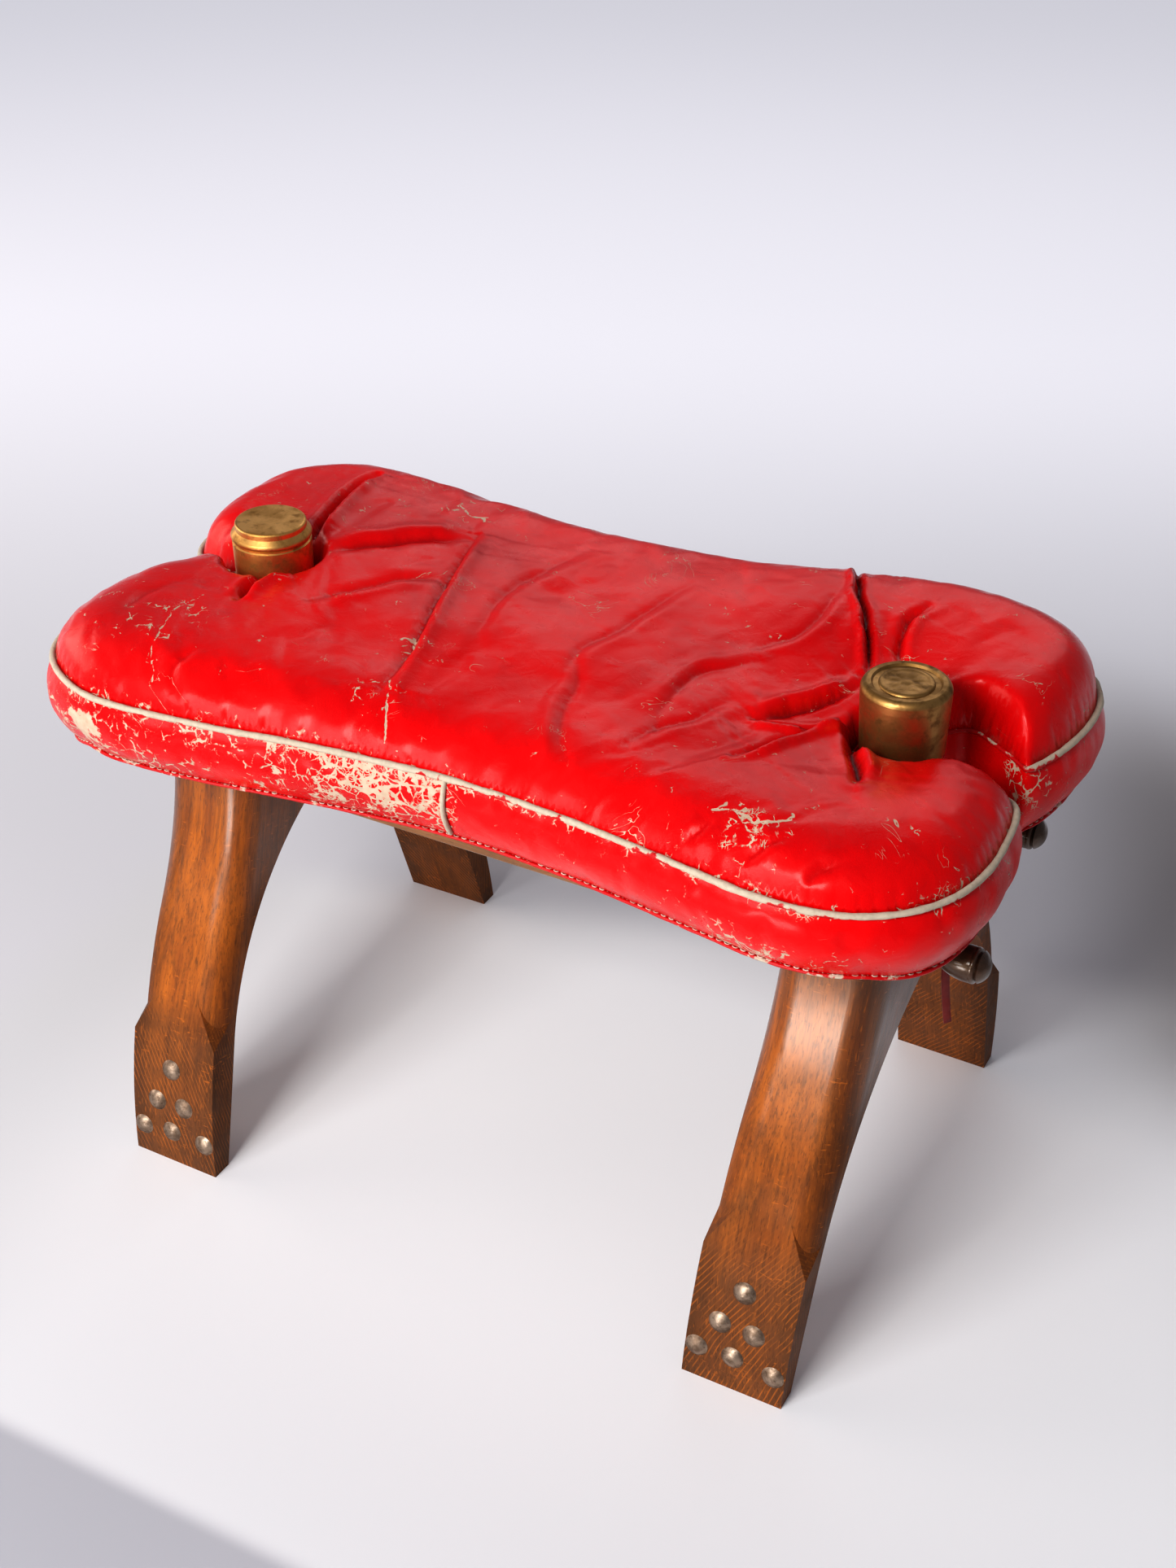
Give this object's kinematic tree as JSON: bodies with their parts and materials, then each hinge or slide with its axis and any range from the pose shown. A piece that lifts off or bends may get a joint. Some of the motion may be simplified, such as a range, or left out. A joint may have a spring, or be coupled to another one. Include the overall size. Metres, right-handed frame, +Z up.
{
  "type": "camel saddle stool",
  "caption": "Low stool with a notched red leather cushion that lifts off two curved wooden arches, brass-capped posts, turned rods and studded feet.",
  "frame": {"origin": "on the floor, under the middle of the stool", "axes": "+X along the stool from the left post to the right post, +Y from front to rear, +Z up"},
  "size_m": [0.648, 0.3904, 0.427],
  "materials": {
    "stained_wood": "orange-brown stained beech under worn gloss lacquer",
    "post_wood": "brown stained beech, satin",
    "dark_turned_wood": "dark brown stain, satin",
    "dowel_wood": "raw beech",
    "aged_brass": "aged brass with brown patina",
    "bronzed_studs": "antique bronzed domed nails, worn bright on top",
    "screw_steel": "plain zinc-plated steel",
    "red_leather": "glossy red leather, creased, cracked and scuffed to off-white",
    "worn_piping": "leather piping worn to off-white with red remnants",
    "underside_leather": "plain red leather, matt",
    "stuffing": "cotton and foam filling",
    "tie_leather": "dark red thong with a pale cut end",
    "thread": "off-white waxed thread"
  },
  "bodies": {
    "frame": {"left_front_leg": "stained_wood", "left_rear_leg": "stained_wood", "right_front_leg": "stained_wood", "right_rear_leg": "stained_wood", "left_front_studs": "bronzed_studs", "left_rear_studs": "bronzed_studs", "right_front_studs": "bronzed_studs", "right_rear_studs": "bronzed_studs", "left_crown_dowels": "dowel_wood", "right_crown_dowels": "dowel_wood", "left_post": "post_wood", "right_post": "post_wood", "left_cap": "aged_brass", "right_cap": "aged_brass", "front_rod": "dark_turned_wood", "rear_rod": "dark_turned_wood", "left_front_finial": "dark_turned_wood", "left_rear_finial": "dark_turned_wood", "right_front_finial": "dark_turned_wood", "right_rear_finial": "dark_turned_wood", "front_rail": "post_wood", "rear_rail": "post_wood", "rail_screws": "screw_steel"},
    "cushion": {"cushion_stuffing": "stuffing", "top_panel": "red_leather", "bottom_panel": "underside_leather", "front_left_band": "red_leather", "front_right_band": "red_leather", "rear_band": "red_leather", "top_piping": "worn_piping", "front_seam_piping": "worn_piping", "leather_tie": "tie_leather"}
  },
  "joints": [
    {"name": "cushion_lift", "type": "slide", "parent": "frame", "child": "cushion", "axis": [0, 0, 1], "range_m": [0, 0.15]}
  ]
}
